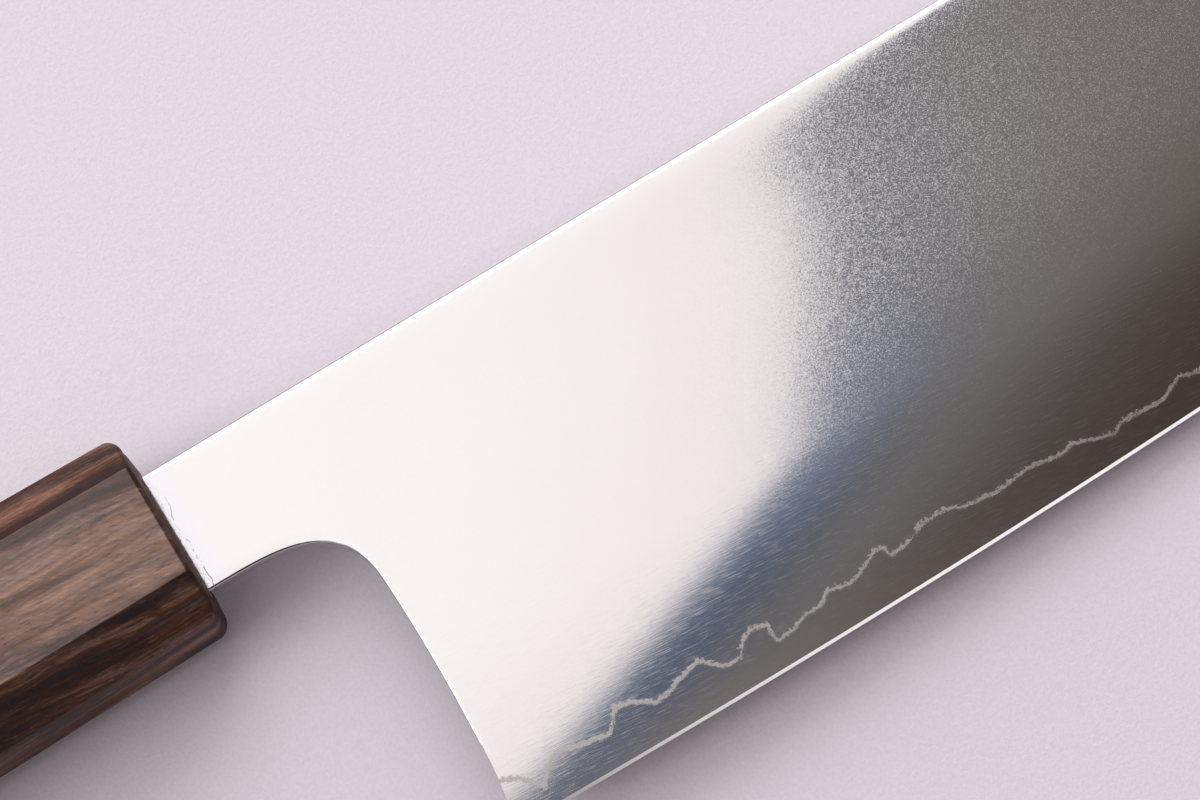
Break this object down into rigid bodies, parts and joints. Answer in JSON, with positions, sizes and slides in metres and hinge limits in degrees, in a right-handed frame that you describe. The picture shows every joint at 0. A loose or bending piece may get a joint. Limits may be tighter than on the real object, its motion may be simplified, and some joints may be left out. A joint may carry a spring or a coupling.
{
  "type": "nakiri knife",
  "caption": "Straight-edged vegetable knife: a tall laminated steel blade with a curved choil, its hidden tang glued and sealed in a tapered octagonal wooden handle.",
  "frame": {"origin": "under the middle of the knife's box, on the level of the handle's lowest point as the knife lies on its left face", "axes": "+X from the handle to the tip, +Y from the cutting edge to the spine, +Z out of the blade's right face"},
  "size_m": [0.31, 0.0598, 0.0232],
  "materials": {
    "core_steel": "hard core steel, ground along the edge and polished",
    "bond_metal": "bright thin bond layer between core and cladding",
    "cladding_steel": "stainless cladding, fine satin polish",
    "handle_wood": "dark brown hardwood, oiled, fine long grain",
    "adhesive": "set resin adhesive",
    "seal": "waxy sealing bead"
  },
  "bodies": {
    "root": {"core_steel": "core_steel", "bond_layer_right": "bond_metal", "bond_layer_left": "bond_metal", "cladding_right": "cladding_steel", "cladding_left": "cladding_steel", "handle_body": "handle_wood", "tang_adhesive": "adhesive", "tang_seal": "seal"}
  },
  "joints": []
}
